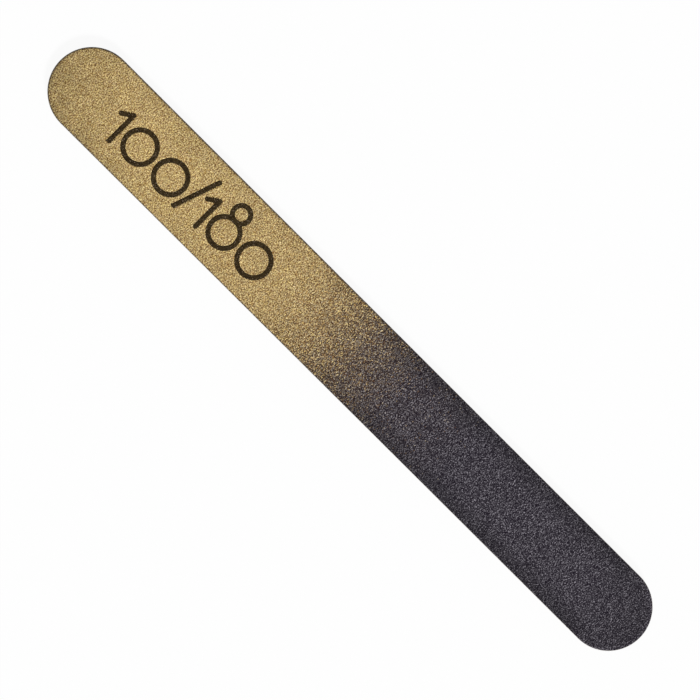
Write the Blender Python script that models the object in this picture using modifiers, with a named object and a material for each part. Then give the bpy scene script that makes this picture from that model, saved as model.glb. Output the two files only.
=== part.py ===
"""Cushioned nail file: a straight hand file with half-round ends, lying flat.

The file is a laminate that is die-cut as one stack. From the face it lies on
upwards it has a fine abrasive coat on a backing paper, a foam cushion, a stiff
core board, a second foam cushion, and a coarser abrasive coat on its own paper.
A film of adhesive lies between the boards. The die comes down on the coarse
face: it rolls that side's rim over into the foam, and leaves the cut rim of
both foam cushions hollow.

X runs along the file, Y across it and Z up. The origin is the centre of the
lower working face.
"""

from math import cos, hypot, pi, radians, sin

import bmesh
import bpy

# Overall size, in metres
LENGTH = 0.178
WIDTH = 0.01925

# Thickness of each kind of layer, and the bond line between two layers
COARSE_GRIT_THICK = 0.00022
FINE_GRIT_THICK = 0.00013
PAPER_THICK = 0.00018
PAPER_FILM_THICK = 0.00006
FOAM_THICK = 0.001
CORE_FILM_THICK = 0.00006
CORE_THICK = 0.001
BOND_GAP = 0.00002

# How far each rim stands back from the cut edge of the paper
GRIT_SETBACK = 0.00006
FOAM_SETBACK = 0.00004
FILM_SETBACK = 0.0004

# The grit's outer rim wears round, and the sheared core has eased edges
GRIT_RIM_ROUND = 0.0001
CORE_EDGE_ROUND = 0.00012

# The rim of the coarse side, rolled over by the die
ROLL_WIDTH = 0.0006
ROLL_DROP = 0.00014

# The foam springs back from the die with a hollow rim between two lands
FOAM_HOLLOW_DEPTH = 0.00016
FOAM_LAND = 0.00008

# Facets, and the most of a thin layer that its rounding may take
END_SEGMENTS = 40
ROUND_SEGMENTS = 3
ROLL_RINGS = 3
HOLLOW_RESOLUTION = 14
ROUND_LIMIT_SHARE = 0.8
SHARP_ANGLE = radians(30)
FLAT_ANGLE = radians(1)

# Weld distance for the loose caps of an extruded outline
WELD = 0.000001

# Looks: linear colour, roughness and metallic value
COARSE_GRIT_LOOK = ((0.44, 0.31, 0.13), 0.62, 0.35)
FINE_GRIT_LOOK = ((0.4, 0.28, 0.12), 0.55, 0.35)
PAPER_LOOK = ((0.6, 0.57, 0.52), 0.85, 0.0)
FILM_LOOK = ((0.62, 0.6, 0.5), 0.3, 0.0)
FOAM_LOOK = ((0.03, 0.025, 0.033), 0.92, 0.0)
CORE_LOOK = ((0.72, 0.7, 0.64), 0.45, 0.0)

UP = 1
DOWN = -1


def clear_scene():
    for obj in list(bpy.data.objects):
        bpy.data.objects.remove(obj, do_unlink=True)


def add_collection(name):
    collection = bpy.data.collections.new(name)
    bpy.context.scene.collection.children.link(collection)
    return collection


def make_material(name, look):
    colour, roughness, metallic = look
    material = bpy.data.materials.new(name)
    material.use_nodes = True
    shader = material.node_tree.nodes["Principled BSDF"]
    shader.inputs["Base Color"].default_value = (*colour, 1.0)
    shader.inputs["Roughness"].default_value = roughness
    shader.inputs["Metallic"].default_value = metallic
    material.diffuse_color = (*colour, 1.0)
    return material


def file_outline(setback):
    """Points round the half-round-ended outline, this far inside its cut edge."""
    radius = WIDTH / 2 - setback
    end_centre = (LENGTH - WIDTH) / 2
    points = []
    for side, first_angle in ((1, -pi / 2), (-1, pi / 2)):
        for step in range(END_SEGMENTS + 1):
            angle = first_angle + pi * step / END_SEGMENTS
            along = side * end_centre + radius * cos(angle)
            points.append((along, radius * sin(angle)))
    return points


def depth_inside(x, y):
    """How far a point of the plan lies inside the file's cut edge."""
    past_end_centre = max(abs(x) - (LENGTH - WIDTH) / 2, 0)
    return WIDTH / 2 - hypot(past_end_centre, y)


def roll_drop(depth):
    """How far the die pushed the coarse side down, this far inside the cut edge."""
    return ROLL_DROP * max(1 - depth / ROLL_WIDTH, 0) ** 2


def outline_curve(name, setback):
    """A closed curve that follows the outline."""
    points = file_outline(setback)
    curve = bpy.data.curves.new(name, "CURVE")
    spline = curve.splines.new("POLY")
    spline.points.add(len(points) - 1)
    for point, (along, across) in zip(spline.points, points):
        point.co = (along, across, 0, 1)
    spline.use_cyclic_u = True
    return curve


def curve_to_mesh_object(name, curve, collection):
    """A mesh object of the curve's solid, with its caps welded on."""
    source = bpy.data.objects.new(name + "_outline", curve)
    collection.objects.link(source)
    bpy.context.view_layer.update()
    evaluated = source.evaluated_get(bpy.context.evaluated_depsgraph_get())
    mesh = bpy.data.meshes.new_from_object(evaluated)
    mesh.name = name
    bpy.data.objects.remove(source, do_unlink=True)
    bpy.data.curves.remove(curve)

    solid = bmesh.new()
    solid.from_mesh(mesh)
    bmesh.ops.remove_doubles(solid, verts=solid.verts, dist=WELD)
    bmesh.ops.dissolve_limit(
        solid, angle_limit=FLAT_ANGLE, verts=solid.verts, edges=solid.edges
    )
    solid.to_mesh(mesh)
    solid.free()

    obj = bpy.data.objects.new(name, mesh)
    collection.objects.link(obj)
    return obj


def add_board(name, thickness, setback, look, collection):
    """A flat board of the file's outline, centred on its own mid-plane."""
    curve = outline_curve(name, setback)
    curve.dimensions = "2D"
    curve.fill_mode = "BOTH"
    curve.extrude = thickness / 2
    board = curve_to_mesh_object(name, curve, collection)
    board.data.materials.append(make_material(name, look))
    board.data.shade_smooth()
    board.data.set_sharp_from_angle(angle=SHARP_ANGLE)
    return board


def add_bevel(board, width, limit_method):
    bevel = board.modifiers.new("round", "BEVEL")
    bevel.limit_method = limit_method
    bevel.angle_limit = SHARP_ANGLE
    bevel.width = width
    bevel.segments = ROUND_SEGMENTS


def weigh_outer_rim(board, outward):
    """Marks the rim of the face that looks outward as the one to round."""
    solid = bmesh.new()
    solid.from_mesh(board.data)
    solid.normal_update()
    weight = solid.edges.layers.float.new("bevel_weight_edge")
    for edge in solid.edges:
        outward_faces = [
            face for face in edge.link_faces if face.normal.z * outward > cos(SHARP_ANGLE)
        ]
        if outward_faces and edge.calc_face_angle(0) > SHARP_ANGLE:
            edge[weight] = 1
    solid.to_mesh(board.data)
    solid.free()


def roll_rim(board, setback, sides):
    """Bends the rim down as the die did, on the given sides of the board."""
    ring_width = (ROLL_WIDTH - setback) / ROLL_RINGS
    if ring_width <= 0:
        return
    solid = bmesh.new()
    solid.from_mesh(board.data)
    solid.normal_update()
    for side in sides:
        caps = [face for face in solid.faces if face.normal.z * side > cos(SHARP_ANGLE)]
        for _ in range(ROLL_RINGS):
            bmesh.ops.inset_region(
                solid, faces=caps, thickness=ring_width, use_even_offset=True
            )
    for vert in solid.verts:
        if any(vert.co.z * side > 0 for side in sides):
            vert.co.z -= roll_drop(depth_inside(vert.co.x, vert.co.y))
    solid.to_mesh(board.data)
    solid.free()


def add_grit_coat(name, thickness, outward, look, collection):
    """Grit in its resin, whose outer rim is worn round. Only the upper coat is rolled."""
    coat = add_board(name, thickness, GRIT_SETBACK, look, collection)
    if outward == UP:
        roll_rim(coat, GRIT_SETBACK, (UP, DOWN))
    weigh_outer_rim(coat, outward)
    add_bevel(coat, min(GRIT_RIM_ROUND, thickness * ROUND_LIMIT_SHARE), "WEIGHT")
    return coat, thickness


def add_paper(name, rolled, collection):
    """A backing paper, which reaches the cut edge."""
    paper = add_board(name, PAPER_THICK, 0, PAPER_LOOK, collection)
    if rolled:
        roll_rim(paper, 0, (UP, DOWN))
    return paper, PAPER_THICK


def add_film(name, thickness, rolled, collection):
    """A film of adhesive, which stops short of the cut edge."""
    film = add_board(name, thickness, FILM_SETBACK, FILM_LOOK, collection)
    if rolled:
        roll_rim(film, FILM_SETBACK, (UP, DOWN))
    return film, thickness


def add_core(name, collection):
    """The stiff board in the middle, with both edges eased."""
    core = add_board(name, CORE_THICK, 0, CORE_LOOK, collection)
    add_bevel(core, min(CORE_EDGE_ROUND, CORE_THICK / 2 * ROUND_LIMIT_SHARE), "ANGLE")
    return core, CORE_THICK


def add_foam(name, rolled, collection, cutters):
    """A foam cushion, its rim cut hollow by a round bar swept along the outline."""
    foam = add_board(name, FOAM_THICK, FOAM_SETBACK, FOAM_LOOK, collection)
    rim_drop = 0
    if rolled:
        roll_rim(foam, FOAM_SETBACK, (UP,))
        rim_drop = roll_drop(FOAM_SETBACK)

    half_chord = (FOAM_THICK - rim_drop) / 2 - FOAM_LAND
    bar_radius = (half_chord**2 + FOAM_HOLLOW_DEPTH**2) / (2 * FOAM_HOLLOW_DEPTH)
    bar_setback = FOAM_SETBACK + FOAM_HOLLOW_DEPTH - bar_radius
    curve = outline_curve(name + "_hollow", bar_setback)
    curve.dimensions = "3D"
    curve.twist_mode = "Z_UP"
    curve.bevel_depth = bar_radius
    curve.bevel_resolution = HOLLOW_RESOLUTION
    bar = curve_to_mesh_object(name + "_hollow", curve, cutters)
    bar.location.z = -rim_drop / 2
    bar.hide_render = True
    bar.display_type = "WIRE"
    bar.parent = foam

    hollow = foam.modifiers.new("hollow rim", "BOOLEAN")
    hollow.operation = "DIFFERENCE"
    hollow.object = bar
    return foam, FOAM_THICK


def stack_layers(layers, root):
    """Lays the boards on each other from the ground up, a bond line apart."""
    height = 0
    for board, thickness in layers:
        board.location.z = height + thickness / 2
        board.parent = root
        height += thickness + BOND_GAP


def build_nail_file():
    clear_scene()
    parts = add_collection("nail_file")
    cutters = add_collection("nail_file_cutters")
    root = bpy.data.objects.new("nail_file_root", None)
    parts.objects.link(root)
    layers = [
        add_grit_coat("lower_abrasive_coat", FINE_GRIT_THICK, DOWN, FINE_GRIT_LOOK, parts),
        add_paper("lower_backing_paper", False, parts),
        add_film("lower_paper_adhesive", PAPER_FILM_THICK, False, parts),
        add_foam("lower_foam_cushion", False, parts, cutters),
        add_film("lower_core_adhesive", CORE_FILM_THICK, False, parts),
        add_core("core_board", parts),
        add_film("upper_core_adhesive", CORE_FILM_THICK, False, parts),
        add_foam("upper_foam_cushion", True, parts, cutters),
        add_film("upper_paper_adhesive", PAPER_FILM_THICK, True, parts),
        add_paper("upper_backing_paper", True, parts),
        add_grit_coat("upper_abrasive_coat", COARSE_GRIT_THICK, UP, COARSE_GRIT_LOOK, parts),
    ]
    stack_layers(layers, root)
    bpy.context.view_layer.update()


build_nail_file()
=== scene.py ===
"""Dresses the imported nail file: its two grit faces, printed grit numbers, cut rims and a studio.

Lengths are in metres, in the frame's own axes: X runs along the file towards its dark end, Y across
it, and Z up out of the coarse face.
"""

from math import ceil, cos, pi, radians, sin, sqrt

import bpy
import numpy as np
from mathutils import Matrix, Vector
from mathutils.geometry import delaunay_2d_cdt


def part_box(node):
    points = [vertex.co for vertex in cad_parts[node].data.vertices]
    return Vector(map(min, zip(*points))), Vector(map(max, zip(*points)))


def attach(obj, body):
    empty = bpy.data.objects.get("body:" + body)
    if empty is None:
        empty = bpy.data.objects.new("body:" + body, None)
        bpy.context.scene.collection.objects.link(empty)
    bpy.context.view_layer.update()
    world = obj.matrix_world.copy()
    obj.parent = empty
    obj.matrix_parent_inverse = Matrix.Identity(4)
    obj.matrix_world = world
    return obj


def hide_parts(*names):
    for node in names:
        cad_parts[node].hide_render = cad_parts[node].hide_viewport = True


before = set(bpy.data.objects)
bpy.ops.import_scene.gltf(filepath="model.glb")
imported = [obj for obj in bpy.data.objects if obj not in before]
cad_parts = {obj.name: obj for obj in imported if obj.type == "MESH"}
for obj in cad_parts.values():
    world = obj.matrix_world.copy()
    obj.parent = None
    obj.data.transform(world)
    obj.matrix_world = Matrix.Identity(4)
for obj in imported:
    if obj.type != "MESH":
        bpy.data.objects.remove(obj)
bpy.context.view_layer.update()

MM = 0.001

# Outline, read from the frame
paper_low, paper_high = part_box("upper_backing_paper")
LENGTH = paper_high.x - paper_low.x
HALF_WIDTH = (paper_high.y - paper_low.y) / 2
END_CENTRE = LENGTH / 2 - HALF_WIDTH
STRAIGHT = 2 * END_CENTRE
ARC = pi * HALF_WIDTH
PERIMETER = 2 * STRAIGHT + 2 * ARC

# The rim of the coarse side, rolled over by the die
ROLL_WIDTH = 0.6 * MM
ROLL_DROP = 0.14 * MM
ROLL_RINGS = 3

# Grit: one point to a grain, its top this far below the highest at most
GRAIN_SPACING = 0.213 * MM
JITTER_SHARE = 0.32
COARSE_THICK = 0.22 * MM
COARSE_RELIEF = 0.15 * MM
FINE_THICK = 0.13 * MM
FINE_RELIEF = 0.07 * MM
GRIT_SETBACK = 0.05 * MM
RIM_CHIPPING = 0.08 * MM
RIM_ROUND_SHARE = 0.35
RIM_ROUND_WIDTH = 0.25 * MM
EDGE_WIDTH = 5.0 * MM
COARSE_SEED = 11
FINE_SEED = 12

# Printed numbers: plain strokes of one width, laid out in shares of the digits' height
NUMBER_TEXT = "100/180"
NUMBER_HEIGHT = 8.83 * MM
NUMBER_START = -72.34 * MM
NUMBER_BASELINE = -5.48 * MM
STROKE_WIDTH = 1.13 * MM
INK_THICK = 0.012 * MM
INK_EDGE_STEP = 0.16 * MM

# Each glyph's advance, its rings (middle and radius) and its strokes (start and end)
GLYPH_SHARES = {
    "0": {"advance": 1.047, "rings": [((0, 0.49), 0.421)], "strokes": []},
    "1": {
        "advance": 0.45,
        "rings": [],
        "strokes": [((0.105, 0.062), (0.105, 0.928)), ((0.105, 0.928), (-0.16, 0.755))],
    },
    "8": {"advance": 0.96, "rings": [((0, 0.461), 0.392), ((0, 1.07), 0.226)], "strokes": []},
    "/": {"advance": 0.412, "rings": [], "strokes": [((-0.199, 0.058), (0.208, 1.244))]},
}

# Foam: its cut rim is a net of small open cells
FOAM_CELL = 0.14 * MM
FOAM_ROWS = 8
FOAM_SETBACK = 0.04 * MM
FOAM_HOLLOW = 0.12 * MM
FOAM_PIT = 0.06 * MM
FOAM_SEEDS = {"upper": 21, "lower": 22}

# Bake maps: the plan folded into strips beside the unrolled rim, with hidden faces drawn small
FOLDS = 3
MAP_GAP = 0.3 * MM
HIDDEN_SCALE = 0.1
GRIT_MAP = 64 * MM
GRIT_RIM_ROW = 0.45 * MM
FOAM_MAP = 23.5 * MM
FOAM_RIM_ROW = 1.15 * MM
INK_MAP = 34 * MM

# Light and camera
CAMERA_DISTANCE = 0.6
CAMERA_LENS = 142.27
CAMERA_TILT = radians(3.8)
CAMERA_TARGET = Vector((-0.75 * MM, -0.16 * MM, 4.15 * MM))
IMAGE_RIGHT = Vector((0.70802, 0.7062, 0)).normalized()
SUN_FROM_VERTICAL = radians(38)
SUN_AZIMUTH = radians(-28)
SUN_WIDTH = radians(10)
SUN_SHARE = 0.6
WORLD_SHARE = 0.4
FLOOR_HALF = 1.5
FLOOR_DROP = 0.02 * MM
FLOOR_GLOW = 0.93


# Outline


def depth_inside(plan):
    """How far points of the plan lie inside the cut edge."""
    past_end = np.maximum(np.abs(plan[..., 0]) - END_CENTRE, 0)
    return HALF_WIDTH - np.hypot(past_end, plan[..., 1])


def roll_drop(depth):
    """How far the die pushed the coarse side down."""
    return ROLL_DROP * np.maximum(1 - depth / ROLL_WIDTH, 0) ** 2


def outline(distance, setback):
    """Points this far round the outline, from its straight edge at -Y, and this far inside it."""
    radius = np.broadcast_to(HALF_WIDTH - setback, distance.shape)
    side = np.where(distance < STRAIGHT + ARC, 1, -1)
    along = np.where(side > 0, distance, distance - STRAIGHT - ARC)
    angle = np.maximum(along - STRAIGHT, 0) / HALF_WIDTH - pi / 2
    on_side = np.minimum(along, STRAIGHT) - END_CENTRE
    x = on_side + radius * np.cos(angle)
    y = radius * np.sin(angle)
    return np.column_stack([side * x, side * y])


def evenly(spacing, jitter, rng):
    """Distances round the outline, evenly but for some jitter."""
    count = round(PERIMETER / spacing)
    step = PERIMETER / count
    return (np.arange(count) + 0.5 + rng.uniform(-jitter, jitter, count)) * step


# Meshes


class Shell:
    """One closed piece: its points, and its faces with each corner's place on the bake map."""

    def __init__(self):
        self.points = []
        self.faces = []
        self.places = []
        self.count = 0

    def add_points(self, plan, height):
        """Adds points of the plan at these heights, and returns their numbers."""
        self.points.append(np.column_stack([plan, np.broadcast_to(height, len(plan))]))
        self.count += len(plan)
        return np.arange(self.count - len(plan), self.count)

    def add_faces(self, faces, places, turned=False):
        """Adds faces with equally many corners, turned over if asked."""
        step = -1 if turned else 1
        self.faces.append(faces[:, ::step])
        self.places.append(places[:, ::step])

    def add_wall(self, below, above, places, turned=False):
        """Adds a closed wall between two rings of points. Places are the corners' in that order."""
        ahead_below, ahead_above = np.roll(below, -1), np.roll(above, -1)
        quads = np.column_stack([below, ahead_below, ahead_above, above])
        self.add_faces(quads, places, turned)

    def build(self, name, map_size, point_values=None):
        """Makes the mesh and its object."""
        mesh = bpy.data.meshes.new(name)
        points = np.vstack(self.points)
        mesh.vertices.add(len(points))
        mesh.vertices.foreach_set("co", points.ravel())
        corners = np.concatenate([faces.ravel() for faces in self.faces])
        sizes = np.concatenate([np.full(len(faces), faces.shape[1]) for faces in self.faces])
        mesh.loops.add(len(corners))
        mesh.loops.foreach_set("vertex_index", corners)
        mesh.polygons.add(len(sizes))
        mesh.polygons.foreach_set("loop_start", np.cumsum(sizes) - sizes)
        mesh.update(calc_edges=True)
        places = np.vstack([part.reshape(-1, 2) for part in self.places]) / map_size
        layer = mesh.uv_layers.new(name="OFBake")
        layer.uv.foreach_set("vector", places.astype(np.float32).ravel())
        for label, values in (point_values or {}).items():
            attribute = mesh.attributes.new(label, "FLOAT", "POINT")
            attribute.data.foreach_set("value", values.astype(np.float32))
        piece = bpy.data.objects.new(name, mesh)
        bpy.context.scene.collection.objects.link(piece)
        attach(piece, "root")
        return piece


def strips(plan):
    """Places of faces seen from above: the plan cut into strips that lie above each other."""
    length = LENGTH / FOLDS
    from_end = plan[..., 0] + LENGTH / 2
    strip = np.clip(from_end.mean(axis=1, keepdims=True) // length, 0, FOLDS - 1)
    u = from_end - strip * length + MAP_GAP
    v = plan[..., 1] + HALF_WIDTH + MAP_GAP + strip * (2 * HALF_WIDTH + 2 * MAP_GAP)
    return np.stack([u, v], axis=-1)


def rows(distance, height, row_length, row_height):
    """Places of faces on a rim: the rim unrolled and cut into rows that lie above each other."""
    row = distance.min(axis=1, keepdims=True) // row_length
    return np.stack([distance - row * row_length, height + row * row_height], axis=-1)


def wall_rows(distance, low, high, row_length, row_height):
    """Places of a wall's faces on an unrolled rim, between two heights on the map."""
    ahead = np.roll(distance, -1)
    ahead[-1] += PERIMETER
    along = np.column_stack([distance, ahead, ahead, distance])
    up = np.broadcast_to([low, low, high, high], along.shape)
    return rows(along, up, row_length, row_height)


def hidden(plan, corner):
    """Places of faces that nothing shows: the plan drawn small, from a corner of the map."""
    shifted = plan + np.array([LENGTH / 2, HALF_WIDTH])
    return shifted * HIDDEN_SCALE + np.array(corner)


def ring_corners(first, second):
    """The corners of the quads between two rings of the plan."""
    return np.stack([first, np.roll(first, -1, 0), np.roll(second, -1, 0), second], 1)


def triangulate(plan):
    """The triangles that join these points of the plan, anticlockwise from above."""
    in_mm = [Vector(point) for point in (plan / MM).tolist()]
    _, _, faces, *_ = delaunay_2d_cdt(in_mm, [], [], 0, 1e-6, False)
    faces = np.array(faces)
    a, b, c = (plan[faces[:, corner]] for corner in range(3))
    area = (b[:, 0] - a[:, 0]) * (c[:, 1] - a[:, 1]) - (b[:, 1] - a[:, 1]) * (c[:, 0] - a[:, 0])
    faces[area < 0] = faces[area < 0][:, ::-1]
    return faces


# Printed numbers


def number_strokes():
    """The rings (middle, radius) and the straight strokes (start, end) of the printed numbers."""
    rings, strokes = [], []
    left = NUMBER_START
    for glyph in NUMBER_TEXT:
        shares = GLYPH_SHARES[glyph]
        origin = np.array([left + shares["advance"] * NUMBER_HEIGHT / 2, NUMBER_BASELINE])
        for middle, radius in shares["rings"]:
            rings.append((origin + np.array(middle) * NUMBER_HEIGHT, radius * NUMBER_HEIGHT))
        for start, end in shares["strokes"]:
            ends = np.array([start, end]) * NUMBER_HEIGHT + origin
            strokes.append((ends[0], ends[1]))
        left += shares["advance"] * NUMBER_HEIGHT
    return rings, strokes


def ink_distance(plan):
    """How far points of the plan lie outside the inked strokes, less than zero inside them."""
    rings, strokes = number_strokes()
    nearest = np.full(len(plan), LENGTH)
    for middle, radius in rings:
        off_ring = np.abs(np.linalg.norm(plan - middle, axis=1) - radius)
        nearest = np.minimum(nearest, off_ring)
    for start, end in strokes:
        along = end - start
        share = np.clip((plan - start) @ along / (along @ along), 0, 1)
        off_stroke = np.linalg.norm(plan - start - share[:, None] * along, axis=1)
        nearest = np.minimum(nearest, off_stroke)
    return nearest - STROKE_WIDTH / 2


def arc_points(middle, radius, first, last):
    """Points on an arc, about one ink step apart, without the last."""
    count = ceil(radius * abs(last - first) / INK_EDGE_STEP)
    angle = first + (last - first) * np.arange(count) / count
    return middle + radius * np.column_stack([np.cos(angle), np.sin(angle)])


def ink_edges():
    """Points along the edges of the inked strokes."""
    rings, strokes = number_strokes()
    half = STROKE_WIDTH / 2
    edges = []
    for middle, radius in rings:
        edges += [arc_points(middle, radius + side * half, 0, 2 * pi) for side in (-1, 1)]
    for start, end in strokes:
        along = end - start
        heading = np.arctan2(along[1], along[0])
        count = ceil(np.linalg.norm(along) / INK_EDGE_STEP)
        share = (np.arange(count) / count)[:, None]
        for side, origin, way in ((-1, start, along), (1, end, -along)):
            turn = heading - side * pi / 2
            corner = origin + half * np.array([np.cos(turn), np.sin(turn)]) * -side
            edges.append(corner + share * way)
            edges.append(arc_points(origin, half, turn, turn + side * pi))
    edges = np.vstack(edges)
    edges = edges[np.abs(ink_distance(edges)) < INK_EDGE_STEP / 8]
    apart = np.linalg.norm(edges[:, None] - edges[None], axis=2)
    doubled = np.tril(apart < INK_EDGE_STEP / 2, -1).any(axis=1)
    return edges[~doubled]


# Grit


def grain_lattice(spacing, rng):
    """One point to a grain: a jittered lattice of triangles over the whole file."""
    row_height = spacing * sqrt(3) / 2
    half_rows = ceil(HALF_WIDTH / row_height)
    half_columns = ceil(LENGTH / 2 / spacing)
    column, row = np.meshgrid(
        np.arange(-half_columns, half_columns + 1), np.arange(-half_rows, half_rows + 1)
    )
    plan = np.column_stack([((column + row % 2 / 2) * spacing).ravel(), (row * row_height).ravel()])
    return plan + rng.uniform(-1, 1, plan.shape) * spacing * JITTER_SHARE


def grain_shares(faces, count, rng):
    """How high each grain stands, as a share of the relief, higher beside lower ones."""
    level = rng.random(count)
    sides = np.vstack([faces[:, [0, 1]], faces[:, [1, 2]], faces[:, [2, 0]]])
    beside = np.bincount(sides[:, 0], level[sides[:, 1]], count)
    proud = level - beside / np.maximum(np.bincount(sides[:, 0], minlength=count), 1)
    return proud.argsort().argsort() / count


def make_grit_coat(name, node, spacing, thick, relief, cover, edges, seed):
    """A coat of grit. The upper one follows the rolled rim. Returns its top too, for the ink."""
    rng = np.random.default_rng(seed)
    _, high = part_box(node)
    upper = node.startswith("upper")
    base = high.z - thick if upper else high.z

    def height_at(plan, above_base):
        if upper:
            return base + above_base - roll_drop(depth_inside(plan))
        return base - above_base

    distance = evenly(spacing, 0.25, rng)
    rim = outline(distance, GRIT_SETBACK)
    grains = grain_lattice(spacing, rng)
    grains = grains[depth_inside(grains) > GRIT_SETBACK + spacing / 2]
    if len(edges):
        grains = grains[np.abs(ink_distance(grains)) > INK_EDGE_STEP * 0.6]
        grains = np.vstack([grains, edges])
    plan = np.vstack([rim, grains])
    faces = triangulate(plan)

    # The rim is chipped, and worn lower than the rest
    chips = RIM_CHIPPING * rng.random(len(rim)) ** 2
    plan[: len(rim)] = outline(distance, GRIT_SETBACK + chips)
    shares = grain_shares(faces, len(plan), rng)
    worn = np.maximum(1 - (depth_inside(plan) - GRIT_SETBACK) / RIM_ROUND_WIDTH, 0) ** 2
    top = (thick - cover - relief * (1 - shares)) * (1 - RIM_ROUND_SHARE * worn)

    shell = Shell()
    crest = shell.add_points(plan, height_at(plan, top))[: len(rim)]
    shell.add_faces(faces, strips(plan[faces]), turned=not upper)

    # The wall: a broken middle ring, then the resin's foot on the paper
    broken = outline(distance, GRIT_SETBACK + chips * rng.uniform(0.1, 0.9, len(rim)))
    waist = shell.add_points(broken, height_at(broken, thick * rng.uniform(0.15, 0.3, len(rim))))
    foot_plan = outline(distance, GRIT_SETBACK + chips * 0.5)
    foot = shell.add_points(foot_plan, height_at(foot_plan, 0))
    row_length = LENGTH / FOLDS
    above_strips = FOLDS * (2 * HALF_WIDTH + 2 * MAP_GAP)
    for below, above, start in ((waist, crest, 0.5), (foot, waist, 0.1)):
        places = wall_rows(
            distance, start * GRIT_RIM_ROW, (start + 0.3) * GRIT_RIM_ROW, row_length, GRIT_RIM_ROW
        )
        shell.add_wall(below, above, places + np.array([MAP_GAP, above_strips]), not upper)

    # The underside, which follows the rolled paper
    corner = (row_length + 3 * MAP_GAP, MAP_GAP)
    last, last_plan = foot, foot_plan
    for depth in np.linspace(0, ROLL_WIDTH, ROLL_RINGS + 1)[1:] if upper else ():
        ring_plan = outline(distance, depth)
        ring = shell.add_points(ring_plan, height_at(ring_plan, 0))
        corners = ring_corners(ring_plan, last_plan)
        shell.add_wall(ring, last, hidden(corners, corner)[..., ::-1], not upper)
        last, last_plan = ring, ring_plan
    shell.add_faces(last[None, ::-1], hidden(last_plan[None, ::-1], corner)[..., ::-1], not upper)

    heights = np.zeros(shell.count)
    heights[: len(plan)] = shares
    inside = np.zeros(shell.count)
    inside[: len(plan)] = np.minimum(depth_inside(plan), EDGE_WIDTH) / MM
    coat = shell.build(name, GRIT_MAP, {"grain": heights, "inside": inside})
    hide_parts(node)
    return coat, (plan, height_at(plan, top), faces, shares)


def make_numbers(name, coat_top):
    """The printed numbers: a film of ink that lies on the grains inside the strokes."""
    plan, height, faces, shares = coat_top
    inked = faces[ink_distance(plan[faces].mean(axis=1)) < 0]
    used, numbered = np.unique(inked, return_inverse=True)
    inked = numbered.reshape(inked.shape)
    plan, height = plan[used], height[used]

    # Fold the printed length in two on the bake map, clear of the strip of hidden faces
    middle = plan[:, 0].mean()
    start = plan[:, 0].min()
    second = (plan[inked][..., 0].mean(axis=1) > middle)[:, None]
    u = plan[inked][..., 0] - np.where(second, middle, start) + MAP_GAP
    v = plan[inked][..., 1] + HALF_WIDTH * 0.7 + np.where(second, HALF_WIDTH * 1.5, 0)

    shell = Shell()
    above = shell.add_points(plan, height + INK_THICK)
    below = shell.add_points(plan, height - INK_THICK)
    shell.add_faces(above[inked], np.stack([u, v], axis=-1))
    shell.add_faces(below[inked], hidden(plan[inked], (MAP_GAP, INK_MAP - 2.5 * MM)), turned=True)

    # The film's edge runs where a side of an inked face has no neighbour
    sides = np.vstack([inked[:, [0, 1]], inked[:, [1, 2]], inked[:, [2, 0]]])
    key = sides[:, 0] * len(plan) + sides[:, 1]
    edge = sides[~np.isin(key, sides[:, 1] * len(plan) + sides[:, 0])]
    length = np.linalg.norm(plan[edge[:, 0]] - plan[edge[:, 1]], axis=1)
    far = np.cumsum(length)
    along = np.column_stack([far - length, far, far, far - length])
    up = np.broadcast_to([0, 0, 2 * INK_THICK, 2 * INK_THICK], along.shape)
    places = rows(along, up, INK_MAP * 0.9, 0.1 * MM) + np.array([MAP_GAP, INK_MAP - 6 * MM])
    quads = np.column_stack(
        [below[edge[:, 0]], below[edge[:, 1]], above[edge[:, 1]], above[edge[:, 0]]]
    )
    shell.add_faces(quads, places)
    return shell.build(name, INK_MAP, {"grain": np.tile(shares[used], 2)})


# Foam


def make_foam(name, node, seed):
    """A foam cushion: a hollow rim of cut cells. The upper one has the rolled rim on top."""
    rng = np.random.default_rng(seed)
    low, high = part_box(node)
    upper = node.startswith("upper")
    rim_top = high.z - roll_drop(FOAM_SETBACK) if upper else high.z
    count = round(PERIMETER / FOAM_CELL)
    step = PERIMETER / count
    distance = (np.arange(count) + 0.5) * step
    row_length = FOAM_MAP - 2 * MAP_GAP

    shell = Shell()
    rings = []
    for row in range(FOAM_ROWS + 1):
        share = row / FOAM_ROWS
        inside = 0 < row < FOAM_ROWS
        sway = inside * rng.uniform(-0.3, 0.3, (2, count))
        pits = FOAM_PIT * rng.random(count) ** 2 * inside
        hollow = FOAM_HOLLOW * sqrt(4 * share * (1 - share))
        plan = outline(distance + sway[0] * step, FOAM_SETBACK + hollow + pits)
        height = low.z + (rim_top - low.z) * (share + sway[1] / FOAM_ROWS)
        rings.append((shell.add_points(plan, height), plan))
    for row in range(FOAM_ROWS):
        top = (row + 1) / FOAM_ROWS * (high.z - low.z)
        places = wall_rows(
            distance, row / FOAM_ROWS * (high.z - low.z), top, row_length, FOAM_RIM_ROW
        )
        shell.add_wall(rings[row][0], rings[row + 1][0], places + MAP_GAP)

    corner = (MAP_GAP, FOAM_MAP - 2.2 * MM)
    bottom, bottom_plan = rings[0]
    shell.add_faces(bottom[None, ::-1], hidden(bottom_plan[None, ::-1], corner))
    last, last_plan = rings[-1]
    for depth in np.linspace(0, ROLL_WIDTH, ROLL_RINGS + 1)[1:] if upper else ():
        ring_plan = outline(distance, depth)
        ring = shell.add_points(ring_plan, high.z - roll_drop(depth))
        shell.add_wall(last, ring, hidden(ring_corners(last_plan, ring_plan), corner))
        last, last_plan = ring, ring_plan
    shell.add_faces(last[None], hidden(last_plan[None], corner))

    foam = shell.build(name, FOAM_MAP)
    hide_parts(node)
    return foam


# Materials


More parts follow.
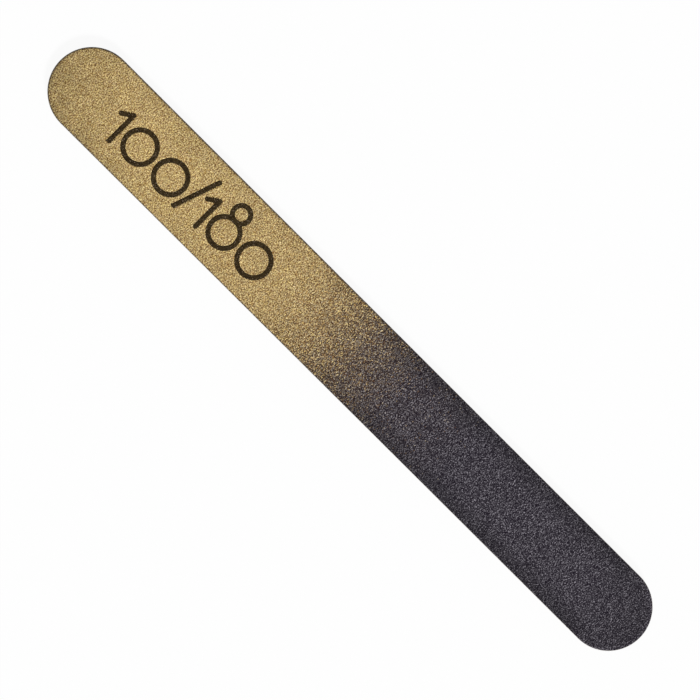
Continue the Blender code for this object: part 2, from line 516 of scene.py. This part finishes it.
class Recipe:
    """A material, with short calls that add its nodes."""

    def __init__(self, name, **settings):
        self.material = bpy.data.materials.new(name)
        self.material.use_nodes = True
        self.tree = self.material.node_tree
        self.shader = self.tree.nodes["Principled BSDF"]
        self.place = self.add("TexCoord").outputs["Object"]
        self.set(**settings)

    def set(self, **inputs):
        """Sets the shader's inputs, by their names with _ for a blank."""
        for name, value in inputs.items():
            self.fill(self.shader.inputs[name.replace("_", " ")], value)

    def fill(self, socket, value):
        if isinstance(value, bpy.types.NodeSocket):
            self.tree.links.new(value, socket)
        elif isinstance(value, tuple) and len(value) == 3 and socket.type == "RGBA":
            socket.default_value = (*value, 1)
        else:
            socket.default_value = value

    def add(self, kind, inputs=None, **settings):
        """Adds a node with these settings, and fills its inputs."""
        node = self.tree.nodes.new("ShaderNode" + kind)
        for name, value in settings.items():
            setattr(node, name, value)
        for key, value in (inputs or {}).items():
            self.fill(node.inputs[key], value)
        return node

    def maths(self, operation, a, b=0, clamp=False):
        node = self.add("Math", {0: a, 1: b}, operation=operation, use_clamp=clamp)
        return node.outputs[0]

    def stretch(self, value, low, high, to_low=0.0, to_high=1.0):
        """Maps a number from one range to another, and holds it there."""
        keys = ("Value", "From Min", "From Max", "To Min", "To Max")
        node = self.add("MapRange", dict(zip(keys, (value, low, high, to_low, to_high))))
        return node.outputs[0]

    def mix(self, share, a, b, blend="MIX"):
        node = self.add("Mix", {0: share, 6: a, 7: b}, data_type="RGBA", blend_type=blend)
        return node.outputs[2]

    def noise(self, size, detail=2.0, scale=(1, 1, 1), roughness=0.5):
        """Noise whose spots are about this long, stretched along an axis with a small scale."""
        at = self.add("Mapping", {"Vector": self.place, "Scale": scale}).outputs[0]
        inputs = {"Vector": at, "Scale": 1 / size, "Detail": detail, "Roughness": roughness}
        return self.add("TexNoise", inputs).outputs["Fac"]

    def cells(self, size, scale=(1, 1, 1)):
        """A cell texture with cells of about this size."""
        at = self.add("Mapping", {"Vector": self.place, "Scale": scale}).outputs[0]
        return self.add("TexVoronoi", {"Vector": at, "Scale": 1 / size}).outputs

    def attribute(self, name):
        return self.add("Attribute", attribute_name=name).outputs["Fac"]

    def bump(self, height, depth, strength=1.0):
        """Adds a relief of this depth, in metres."""
        inputs = {"Height": height, "Distance": depth, "Strength": strength}
        self.set(Normal=self.add("Bump", inputs).outputs["Normal"])


# Where the gold print covers the dark grit: millimetres along the file, and the share covered there
FADE_STOPS = (
    (-45, 1.0),
    (-37, 0.96),
    (-31, 0.895),
    (-21, 0.845),
    (-9, 0.49),
    (2, 0.15),
    (14, 0.022),
    (33, 0.0),
)
# Painted shade: the gold stops further from the rim at +Y, darkening the rim away from the lamp
SHADE_SIDE_PRINT_SHIFT = 0.09 * MM
# Darker towards the gold tip, more so on its lower side
TIP_STOPS = (-90, -67)
# The far tip is darker from here on
FAR_END_DARK_STOPS = (72, 88)
# Its rim has a painted highlight from here on, where it faces the lamp, and no painted rim shade
FAR_TIP_STOPS = (76, 84)

# The darkest and palest grains of each colour, linear; the palest dark ones are partly painted
# glints
GOLD_TONES = ((0.215, 0.1165, 0.033), (0.88, 0.68, 0.3165))
DARK_TONES = ((0.0054, 0.0021, 0.0084), (0.287, 0.268, 0.3025))
# Grains in the materials: their size, their stretch, and how far their faces lean
COARSE_GRAIN = 0.18 * MM
FINE_GRAIN = 0.11 * MM
GRAIN_STRETCH = (1.55, 0.66, 1.1)
GRAIN_LEAN = 0.55
GOLD_METAL = 0.2
# Where the gold fades: what sets a grain's cover, how far it swings, and the odd grains beyond it
PALE_SHARE = 0.32
MOTTLE_SHARE = 0.68
PATCH_SWING = (-0.73, 3.05)
STRAY_SHARE = 0.35
# Millimetres inside the edge over which the print starts
PRINT_RIM = (0.04, 0.42)


def gold_cover(recipe, along):
    """The share of gold, from the place along the file."""
    first, last = FADE_STOPS[0][0], FADE_STOPS[-1][0]
    share = recipe.stretch(along, first * MM, last * MM)
    ramp = recipe.add("ValToRGB", {"Fac": share})
    stops = ramp.color_ramp.elements
    for place, cover in FADE_STOPS[1:-1]:
        stops.new((place - first) / (last - first)).color = (cover,) * 3 + (1,)
    stops[0].color = (FADE_STOPS[0][1],) * 3 + (1,)
    stops[-1].color = (FADE_STOPS[-1][1],) * 3 + (1,)
    return ramp.outputs["Color"]


def patchy_cover(recipe, plain, bare, pale, tone, grain, inside, across):
    """The share of gold on each grain: patchy where it fades, less in pits and at the rim, and less
    at the +Y rim as painted shade.
    """
    mottle = recipe.maths("MULTIPLY", tone["X"], MOTTLE_SHARE)
    odd = recipe.maths("ADD", recipe.maths("MULTIPLY", pale, PALE_SHARE), mottle)
    patchy = recipe.stretch(recipe.maths("POWER", odd, 3.0), 0, 1, *PATCH_SWING)
    patches = recipe.maths("MULTIPLY", recipe.maths("MULTIPLY", plain, bare), patchy)
    stray = recipe.maths("GREATER_THAN", recipe.maths("ADD", tone["X"], plain), 1.0)
    strays = recipe.maths("MULTIPLY", recipe.maths("MULTIPLY", stray, bare), STRAY_SHARE)
    speckled = recipe.maths("ADD", patches, strays)

    # Painted shade: the gold stops further from the rim at +Y, so that rim shows darker
    shade_side_cut = recipe.stretch(across, -HALF_WIDTH, HALF_WIDTH, 0.0, -SHADE_SIDE_PRINT_SHIFT / MM)
    shade_side_cut = recipe.maths("MULTIPLY", plain, shade_side_cut)
    ragged = recipe.maths("ADD", inside, recipe.stretch(tone["Z"], 0, 1, -0.1, 0.1))
    ragged = recipe.maths("ADD", ragged, shade_side_cut)
    bare_pit = recipe.stretch(grain, 0.1, 0.45, 0.6, 1.0)
    kept = recipe.maths("MULTIPLY", bare_pit, recipe.stretch(ragged, *PRINT_RIM, 0.15, 1.0))
    return recipe.maths("MULTIPLY", recipe.maths("ADD", plain, speckled), kept, clamp=True)


def grain_colour(recipe, cover, bare, pale, tone):
    """Each grain's colour. Few of the dark ones are pale: partly their own tone, partly painted
    glints.
    """
    gold_tone = recipe.mix(recipe.maths("POWER", pale, 1.6), *GOLD_TONES)
    redder = recipe.maths("MULTIPLY", bare, recipe.stretch(pale, 0, 1, -0.0155, -0.003))
    yellow = recipe.maths("ADD", recipe.stretch(tone["Z"], 0, 1, -0.004, 0.004), redder)
    hue = recipe.maths("ADD", recipe.stretch(pale, 0, 1, 0.4937, 0.5057), yellow)
    greyer = recipe.maths("MULTIPLY", bare, recipe.stretch(pale, 0, 1, 0.21, -0.07))
    saturation = recipe.maths("ADD", recipe.stretch(tone["Z"], 0, 1, 0.89, 1.1), greyer)
    inputs = {"Color": gold_tone, "Hue": hue, "Saturation": saturation}
    gold_tone = recipe.add("HueSaturation", inputs).outputs[0]
    # The few pale dark grains are partly painted glints
    dark_tone = recipe.mix(recipe.maths("POWER", pale, 3.9), *DARK_TONES)
    return recipe.mix(cover, dark_tone, gold_tone)


def grit_shade(recipe, along, across, cover, grain, inside):
    """Darker towards both tips and clouded a little, with painted shade in the pits and along the
    rims and a painted highlight on the far tip's rim.
    """
    slanted = recipe.maths("ADD", along, across)
    tip = recipe.stretch(slanted, TIP_STOPS[0] * MM, TIP_STOPS[1] * MM, 1.0, 0.0)
    blotch = recipe.stretch(recipe.noise(1.6 * MM, 2.0), 0.35, 0.65, 0.32, 0.16)
    # Painted shade along the gold tip's rim
    painted_tip_rim_shade = recipe.stretch(inside, 0, 1.3, 0.17, 0.0)
    tip_darkening = recipe.maths("MULTIPLY", tip, recipe.maths("ADD", blotch, painted_tip_rim_shade))
    far_end_darker = recipe.stretch(along, FAR_END_DARK_STOPS[0] * MM, FAR_END_DARK_STOPS[1] * MM, 1.0, 0.75)
    tips_darker = recipe.maths("SUBTRACT", far_end_darker, tip_darkening)
    cloud = recipe.noise(6 * MM, 3.0)
    clouded = recipe.maths("MULTIPLY", tips_darker, recipe.stretch(cloud, 0.3, 0.7, 0.93, 1.07))
    # Painted shade: lower grains are darker
    painted_pit_shade = recipe.maths("MULTIPLY", clouded, recipe.stretch(grain, 0, 0.8, 0.85, 1.05))

    far_tip = recipe.stretch(along, FAR_TIP_STOPS[0] * MM, FAR_TIP_STOPS[1] * MM)
    # Painted shade along the rims, strongest where there is no gold, and none at the far tip
    rim_shade = recipe.stretch(cover, 0, 0.7, 0.52, 0.9)
    rim_shade = recipe.maths("ADD", rim_shade, recipe.maths("MULTIPLY", far_tip, 0.45))
    inputs = {"Value": inside, "From Max": EDGE_WIDTH / MM, "To Min": rim_shade}
    outer = recipe.add("MapRange", inputs).outputs[0]
    # Painted highlight on the far tip's rim, which faces the lamp
    painted_far_rim_light = recipe.maths("MULTIPLY", far_tip, recipe.stretch(inside, 0, 1.1, 0.55, 0))
    outer = recipe.maths("MULTIPLY", outer, recipe.maths("ADD", painted_far_rim_light, 1.0))
    return recipe.maths("MULTIPLY", painted_pit_shade, outer)


def leaning_normal(recipe, cells):
    """The surface's normal, with each grain's face leaning its own way."""
    lean = recipe.add("VectorMath", {0: cells["Color"], 1: (-0.5, -0.5, -0.5)}).outputs[0]
    inputs = {0: lean, "Scale": GRAIN_LEAN}
    leaning = recipe.add("VectorMath", inputs, operation="SCALE").outputs[0]
    normal = recipe.add("NewGeometry").outputs["Normal"]
    leant = recipe.add("VectorMath", {0: normal, 1: leaning}).outputs[0]
    return recipe.add("VectorMath", {0: leant}, operation="NORMALIZE").outputs[0]


def grit_material(name, grain_size):
    """Mineral grains in resin, dark at one end and printed gold at the other."""
    recipe = Recipe(name, Specular_IOR_Level=0.08)
    at = recipe.add("SeparateXYZ", {0: recipe.place}).outputs
    along, across = at["X"], at["Y"]
    grain = recipe.attribute("grain")
    inside = recipe.attribute("inside")
    cells = recipe.cells(grain_size, GRAIN_STRETCH)
    tone = recipe.add("SeparateXYZ", {0: cells["Color"]}).outputs
    own = recipe.maths("MULTIPLY", tone["Y"], 0.5)
    level = recipe.maths("ADD", recipe.maths("MULTIPLY", grain, 0.5), own)
    pale = recipe.stretch(level, 0.2, 0.8)

    plain = gold_cover(recipe, along)
    bare = recipe.maths("SUBTRACT", 1.0, plain)
    cover = patchy_cover(recipe, plain, bare, pale, tone, grain, inside, across)
    colour = grain_colour(recipe, cover, bare, pale, tone)
    shade = grit_shade(recipe, along, across, cover, grain, inside)
    grey = recipe.add("CombineColor", {0: shade, 1: shade, 2: shade}).outputs[0]
    recipe.set(
        Base_Color=recipe.mix(1.0, colour, grey, "MULTIPLY"),
        Metallic=recipe.maths("MULTIPLY", cover, GOLD_METAL),
        Roughness=recipe.stretch(recipe.maths("ADD", tone["X"], cover), 0, 2, 0.55, 0.48),
        Normal=leaning_normal(recipe, cells),
    )
    return recipe.material


def ink_material():
    """Dark brown ink, with painted glints on the tops of a few grains."""
    recipe = Recipe("number_ink", Specular_IOR_Level=0.05)
    grain = recipe.attribute("grain")
    cells = recipe.cells(0.2 * MM)
    tone = recipe.add("SeparateXYZ", {0: cells["Color"]}).outputs
    # Painted glints: a few high grains are paler
    painted_ink_glint = recipe.stretch(recipe.maths("MULTIPLY", grain, tone["X"]), 0.53, 0.75)
    ink = recipe.mix(tone["Y"], (0.011, 0.0055, 0.0015), (0.052, 0.034, 0.0125))
    recipe.set(
        Base_Color=recipe.mix(painted_ink_glint, ink, (0.25, 0.19, 0.13)),
        Roughness=recipe.stretch(tone["Z"], 0, 1, 0.45, 0.65),
    )
    recipe.bump(recipe.noise(0.08 * MM), 0.008 * MM, 0.6)
    return recipe.material


def paper_material():
    """Greyish unbleached paper with short fibres, flecked and clouded."""
    recipe = Recipe("backing_paper", Specular_IOR_Level=0.2)
    fibres = recipe.noise(0.35 * MM, 4.0, (1, 4, 2), 0.65)
    flecks = recipe.noise(0.12 * MM, 2.0, (2, 1, 5))
    cloud = recipe.noise(5 * MM)
    light = recipe.mix(recipe.stretch(fibres, 0.3, 0.7), (0.5, 0.47, 0.42), (0.7, 0.67, 0.62))
    flecked = recipe.mix(recipe.stretch(flecks, 0.62, 0.75), light, (0.3, 0.26, 0.21))
    clouded = recipe.stretch(cloud, 0.3, 0.7, 0, 0.25)
    recipe.set(
        Base_Color=recipe.mix(clouded, flecked, (0.56, 0.51, 0.44)),
        Roughness=recipe.stretch(fibres, 0.3, 0.7, 0.95, 0.78),
    )
    recipe.bump(fibres, 0.03 * MM, 0.7)
    return recipe.material


def core_material():
    """Off-white styrene board, whose cut edge shows the die's upright drag marks."""
    recipe = Recipe("core_board", Specular_IOR_Level=0.5)
    drag = recipe.noise(0.22 * MM, 3.0, (1, 1, 0.06), 0.6)
    cloud = recipe.noise(9 * MM, 2.0)
    dust = recipe.noise(0.3 * MM, 2.0)
    light = recipe.mix(recipe.stretch(drag, 0.3, 0.7), (0.6, 0.575, 0.51), (0.78, 0.76, 0.7))
    clouded = recipe.mix(recipe.stretch(cloud, 0.35, 0.65, 0, 0.3), light, (0.7, 0.67, 0.58))
    recipe.set(
        Base_Color=recipe.mix(recipe.stretch(dust, 0.68, 0.74), clouded, (0.4, 0.36, 0.3)),
        Roughness=recipe.stretch(drag, 0.3, 0.7, 0.58, 0.38),
    )
    recipe.bump(drag, 0.04 * MM, 0.8)
    return recipe.material


def film_material():
    """Clear yellowish adhesive, cloudy with small bubbles."""
    recipe = Recipe("adhesive", Specular_IOR_Level=0.5)
    bubbles = recipe.cells(0.5 * MM)["Distance"]
    cloud = recipe.noise(3 * MM, 3.0)
    clear = recipe.mix(recipe.stretch(cloud, 0.3, 0.7), (0.55, 0.52, 0.4), (0.68, 0.66, 0.56))
    recipe.set(
        Base_Color=recipe.mix(recipe.stretch(bubbles, 0.1, 0.2), (0.75, 0.74, 0.68), clear),
        Roughness=recipe.stretch(cloud, 0.3, 0.7, 0.22, 0.4),
    )
    recipe.bump(bubbles, 0.02 * MM, 0.4)
    return recipe.material


def foam_material():
    """Charcoal foam, with paler walls round its open cells, which painted shade makes darker."""
    recipe = Recipe("charcoal_foam", Specular_IOR_Level=0.25, Sheen_Weight=0.15)
    cell = recipe.cells(0.15 * MM)
    cloud = recipe.noise(4 * MM)
    wall = recipe.stretch(cell["Distance"], 0.25, 0.75)
    # Painted shade: the open cells are darker than their walls
    colour = recipe.mix(wall, (0.012, 0.01, 0.014), (0.05, 0.043, 0.054))
    recipe.set(
        Base_Color=recipe.mix(recipe.stretch(cloud, 0.3, 0.7, 0, 0.3), colour, (0.03, 0.027, 0.03)),
        Roughness=recipe.stretch(wall, 0, 1, 0.95, 0.8),
    )
    recipe.bump(cell["Distance"], 0.05 * MM, 0.8)
    return recipe.material


def give(thing, material):
    """Puts one material on every slot of an object."""
    thing.data.materials.clear()
    thing.data.materials.append(material)


# The piece's studio


def seen_directly(tree):
    """1 for rays from the camera, and for mirrored and refracted ones; 0 for those that light."""
    path = tree.nodes.new("ShaderNodeLightPath").outputs
    seen = path["Is Camera Ray"]
    for other in ("Is Glossy Ray", "Is Transmission Ray"):
        larger = tree.nodes.new("ShaderNodeMath")
        larger.operation = "MAXIMUM"
        tree.links.new(seen, larger.inputs[0])
        tree.links.new(path[other], larger.inputs[1])
        seen = larger.outputs[0]
    return seen


def scaled(tree, value, low, high):
    """A number from low to high as value goes from 0 to 1."""
    node = tree.nodes.new("ShaderNodeMapRange")
    tree.links.new(value, node.inputs["Value"])
    node.inputs["To Min"].default_value = low
    node.inputs["To Max"].default_value = high
    return node.outputs[0]


def add_world():
    """A white room: plain white where it is seen, and dimmer where it lights the object."""
    world = bpy.data.worlds.new("studio")
    bpy.context.scene.world = world
    world.use_nodes = True
    background = world.node_tree.nodes["Background"]
    background.inputs["Color"].default_value = (1, 1, 1, 1)
    strength = scaled(world.node_tree, seen_directly(world.node_tree), WORLD_SHARE, 1.0)
    world.node_tree.links.new(strength, background.inputs["Strength"])


def add_floor():
    """A pale floor that stays near white in view and keeps the object's shadow."""
    mesh = bpy.data.meshes.new("floor")
    corners = [(-1, -1), (1, -1), (1, 1), (-1, 1)]
    points = [(x * FLOOR_HALF, y * FLOOR_HALF, -FLOOR_DROP) for x, y in corners]
    mesh.from_pydata(points, [], [(0, 1, 2, 3)])
    floor = bpy.data.objects.new("floor", mesh)
    bpy.context.scene.collection.objects.link(floor)
    recipe = Recipe("floor", Base_Color=(0.88, 0.88, 0.88), Roughness=0.9, Specular_IOR_Level=0.1)
    glow = recipe.add("Emission", {"Color": (1.0, 1.0, 1.0)})
    blend = recipe.add("MixShader", {1: recipe.shader.outputs[0], 2: glow.outputs[0]})
    recipe.fill(blend.inputs[0], scaled(recipe.tree, seen_directly(recipe.tree), 0.0, FLOOR_GLOW))
    recipe.fill(recipe.tree.nodes["Material Output"].inputs["Surface"], blend.outputs[0])
    mesh.materials.append(recipe.material)


def add_sun():
    """A large soft lamp from the lower side of the picture, a little from the right."""
    lamp = bpy.data.lights.new("key", "SUN")
    lamp.energy = SUN_SHARE * pi / cos(SUN_FROM_VERTICAL)
    lamp.angle = SUN_WIDTH
    sun = bpy.data.objects.new("key", lamp)
    towards = Vector(
        (
            sin(SUN_FROM_VERTICAL) * cos(SUN_AZIMUTH),
            sin(SUN_FROM_VERTICAL) * sin(SUN_AZIMUTH),
            cos(SUN_FROM_VERTICAL),
        )
    )
    sun.rotation_mode = "QUATERNION"
    sun.rotation_quaternion = towards.to_track_quat("Z", "Y")
    bpy.context.scene.collection.objects.link(sun)


def add_camera():
    """Looks straight down, a little from the gold end, with the file laid across the picture."""
    data = bpy.data.cameras.new("camera")
    data.lens = CAMERA_LENS
    data.sensor_width = 36
    camera = bpy.data.objects.new("camera", data)
    back = Vector((0, 0, 1))
    axes = Matrix((IMAGE_RIGHT, back.cross(IMAGE_RIGHT), back)).transposed()
    tilted = Matrix.Rotation(-CAMERA_TILT, 3, "Y") @ axes
    place = CAMERA_TARGET + tilted.col[2] * CAMERA_DISTANCE
    camera.matrix_world = Matrix.Translation(place) @ tilted.to_4x4()
    bpy.context.scene.collection.objects.link(camera)
    bpy.context.scene.camera = camera
    bpy.context.scene.view_settings.view_transform = "Standard"


# The whole object


def dress_file():
    """Replaces the grit and the foam with detailed pieces, and finishes the layers that stay."""
    coarse, coarse_top = make_grit_coat(
        "coarse_grit_coat",
        "upper_abrasive_coat",
        GRAIN_SPACING,
        COARSE_THICK,
        COARSE_RELIEF,
        INK_THICK,
        ink_edges(),
        COARSE_SEED,
    )
    give(coarse, grit_material("coarse_grit", COARSE_GRAIN))

    numbers = make_numbers("grit_numbers", coarse_top)
    give(numbers, ink_material())

    fine, _ = make_grit_coat(
        "fine_grit_coat",
        "lower_abrasive_coat",
        GRAIN_SPACING,
        FINE_THICK,
        FINE_RELIEF,
        0,
        [],
        FINE_SEED,
    )
    give(fine, grit_material("fine_grit", FINE_GRAIN))

    foam_finish = foam_material()
    for side, seed in FOAM_SEEDS.items():
        give(make_foam(side + "_foam", side + "_foam_cushion", seed), foam_finish)

    paper, film = paper_material(), film_material()
    for node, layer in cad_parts.items():
        if node.endswith("paper"):
            give(layer, paper)
        elif node.endswith("adhesive"):
            give(layer, film)
    give(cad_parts["core_board"], core_material())


add_camera()
add_sun()
add_world()
add_floor()
dress_file()
